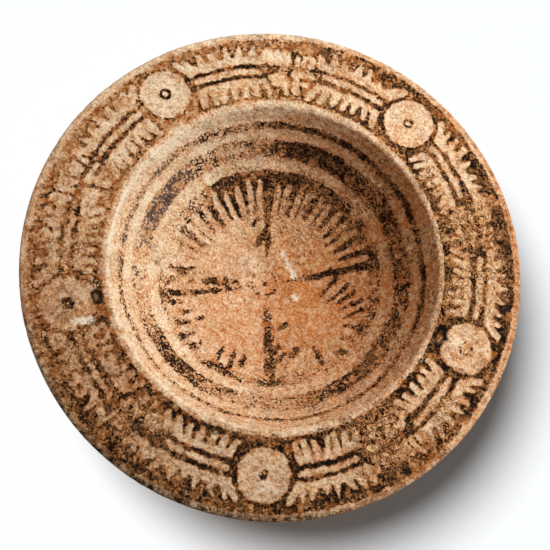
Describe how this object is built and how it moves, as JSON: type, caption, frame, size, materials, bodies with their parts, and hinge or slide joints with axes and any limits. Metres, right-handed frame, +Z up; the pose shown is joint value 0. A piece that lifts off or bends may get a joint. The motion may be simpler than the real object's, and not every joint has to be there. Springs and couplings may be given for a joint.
{
  "type": "ledge-rim bowl",
  "caption": "Round ceramic bowl with a wide flat ledge rim, a deep rounded well and a low foot ring, painted dark on cream slip with winged discs and palmettes.",
  "frame": {"origin": "centre of the foot ring's sole, on the surface that the bowl stands on", "axes": "+Z up along the bowl's axis, out of the well; +X towards the right-hand cross arm of the floor's medallion, about 8 degrees short of it"},
  "size_m": [0.2, 0.2, 0.0474],
  "materials": {
    "biscuit": "matte fired buff clay",
    "slip": "matte weathered cream slip",
    "pigment": "matte worn dark brown paint"
  },
  "bodies": {
    "root": {"thrown_body": "biscuit", "foot_ring": "biscuit", "slip_coat": "slip", "rim_ground": "pigment", "disc_eye_1": "pigment", "disc_eye_2": "pigment", "disc_eye_3": "pigment", "disc_eye_4": "pigment", "disc_eye_5": "pigment", "lip_line": "pigment", "well_line": "pigment", "well_band": "pigment", "medallion_ground": "pigment", "centre_dot": "pigment"}
  },
  "joints": []
}
